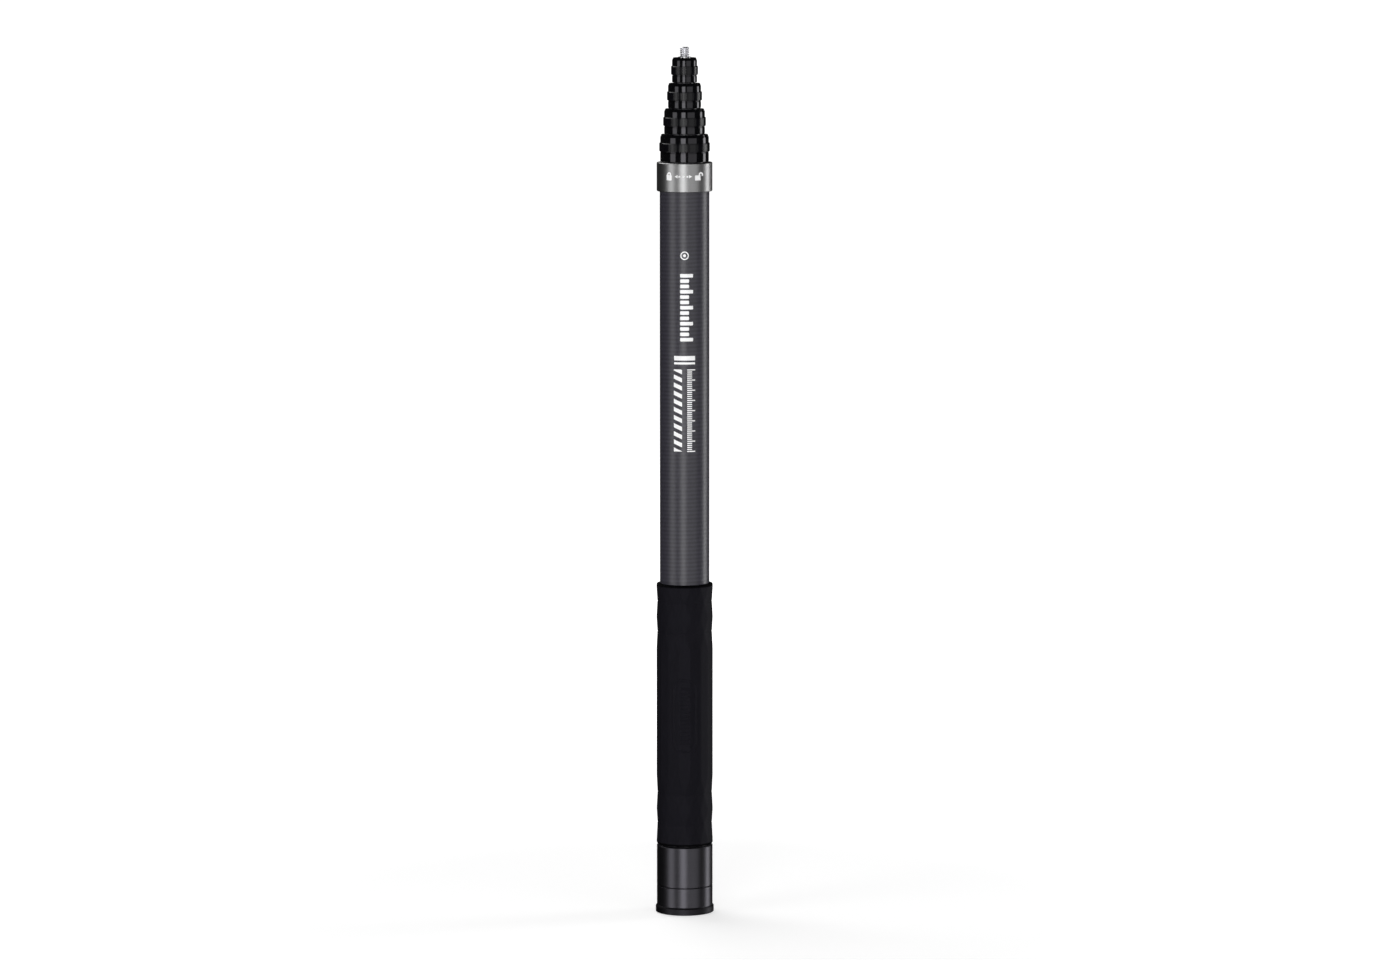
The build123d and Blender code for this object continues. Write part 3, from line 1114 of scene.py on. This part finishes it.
def makeFloor():
    size = stage
    half = size["floorHalf"]
    mesh = bpy.data.meshes.new("floor")
    corners = [(-half, -half, 0), (half, -half, 0), (half, half, 0), (-half, half, 0)]
    mesh.from_pydata(corners, [], [(0, 1, 2, 3)])
    paint = newFinish("studioFloor")
    x, y, z = paint.place()
    distance = paint.maths("SQRT", x * x + y * y) * mm  # metres from the pole
    far = paint.clamped((distance - size["glowNear"]) / (size["glowFar"] - size["glowNear"]))
    seen = paint.node("ShaderNodeLightPath", {}, {}, "Is Camera Ray")
    strength = size["floorGlow"] + (1 - size["floorGlow"]) * far
    glow = paint.node("ShaderNodeEmission", {}, {"Strength": seen * strength})
    matt = paint.node("ShaderNodeBsdfDiffuse", {}, {"Color": size["floorColour"]})
    lit = paint.node("ShaderNodeAddShader", {}, {0: glow, 1: matt})
    clear = paint.node("ShaderNodeBsdfTransparent", {}, {})
    under = paint.node("ShaderNodeNewGeometry", {}, {}, "Backfacing")
    both = paint.node("ShaderNodeMixShader", {}, {0: under, 1: lit, 2: clear})
    paint.node("ShaderNodeOutputMaterial", {}, {"Surface": both})
    mesh.materials.append(paint.made)
    floor = bpy.data.objects.new("floor", mesh)
    scene.collection.objects.link(floor)
    floor.visible_glossy = False
    floor.visible_shadow = False


makeFloor()

world = {
    "background": 1.0,  # white behind everything the camera sees
    "dark": 0.014,  # the unlit studio that polished surfaces see
    "fill": 0.272,  # what matt surfaces gather from the walls
    "ceiling": 0.12,  # and from straight above
}


def makeWorld():
    paint = Finish(bpy.data.worlds.new("studio"))
    camera = paint.node("ShaderNodeLightPath", {}, {}, "Is Camera Ray")
    rays = camera.socket.node.outputs
    polished = Value(paint, rays["Is Glossy Ray"]) + Value(paint, rays["Is Transmission Ray"])
    towards = paint.node("ShaderNodeTexCoord", {}, {}, "Generated")
    parts = paint.node("ShaderNodeSeparateXYZ", {}, {"Vector": towards})
    upward = paint.clamped(Value(paint, parts.socket.node.outputs["Z"]))
    matt = paint.clamped(1 - camera - polished)
    gathered = world["fill"] + upward * (world["ceiling"] - world["fill"])
    strength = camera * world["background"] + polished * world["dark"] + matt * gathered
    back = paint.node("ShaderNodeBackground", {}, {"Color": colour(1, 1, 1), "Strength": strength})
    paint.node("ShaderNodeOutputWorld", {}, {"Surface": back})
    scene.world = paint.made


makeWorld()

strips = {  # degrees round from the camera towards +X, half width in degrees, radiance
    "key": (-6, 11, 3.9),
    "left": (-57, 13, 2.1),
    "soft": (38, 21, 0.95),
    "rim": (109, 9, 4.0),
}
stripSize = {"distance": 1.2, "bottom": -0.7, "top": 0.95}


def makeLamp(name, place, aim, width, height, radiance):
    lamp = bpy.data.lights.new(name, "AREA")
    lamp.shape = "RECTANGLE"
    lamp.size = width
    lamp.size_y = height
    lamp.energy = radiance * math.pi * width * height
    holder = bpy.data.objects.new(name, lamp)
    scene.collection.objects.link(holder)
    holder.location = place
    holder.rotation_mode = "QUATERNION"
    holder.rotation_quaternion = (aim - place).to_track_quat("-Z", "Y")
    holder.visible_camera = False


def outwards(angle, distance, height):
    side = math.radians(angle)
    return Vector((distance * math.sin(side), -distance * math.cos(side), height))


def makeStrips():
    distance = stripSize["distance"]
    middle = (stripSize["top"] + stripSize["bottom"]) / 2
    height = stripSize["top"] - stripSize["bottom"]
    for name, (angle, halfWidth, radiance) in strips.items():
        width = 2 * distance * math.tan(math.radians(halfWidth))
        place = outwards(angle, distance, middle)
        makeLamp(name + "Strip", place, Vector((0, 0, middle)), width, height, radiance)


makeStrips()

# high behind the pole on the left, it throws the soft shadow forward to the right
shadowLamp = {"angle": -147, "distance": 1.3, "height": 1.9, "side": 1.4, "radiance": 3.0}


def makeShadowLamp():
    size = shadowLamp
    place = outwards(size["angle"], size["distance"], size["height"])
    makeLamp("shadowLamp", place, Vector((0, 0, 0)), size["side"], size["side"], size["radiance"])


makeShadowLamp()

view = {
    "place": (0.0, -4.0, 0.75),
    "aim": (0.010, 0.0, 0.2845),
    "lens": 159.2,
    "sensor": 36,
    "farthest": 200,
}


def makeCamera():
    lens = bpy.data.cameras.new("camera")
    lens.lens = view["lens"]
    lens.sensor_width = view["sensor"]
    lens.clip_end = view["farthest"]
    camera = bpy.data.objects.new("camera", lens)
    scene.collection.objects.link(camera)
    camera.location = view["place"]
    camera.rotation_mode = "QUATERNION"
    camera.rotation_quaternion = (Vector(view["aim"]) - camera.location).to_track_quat("-Z", "Y")
    scene.camera = camera


makeCamera()
scene.view_settings.view_transform = "Standard"
print("stage set")
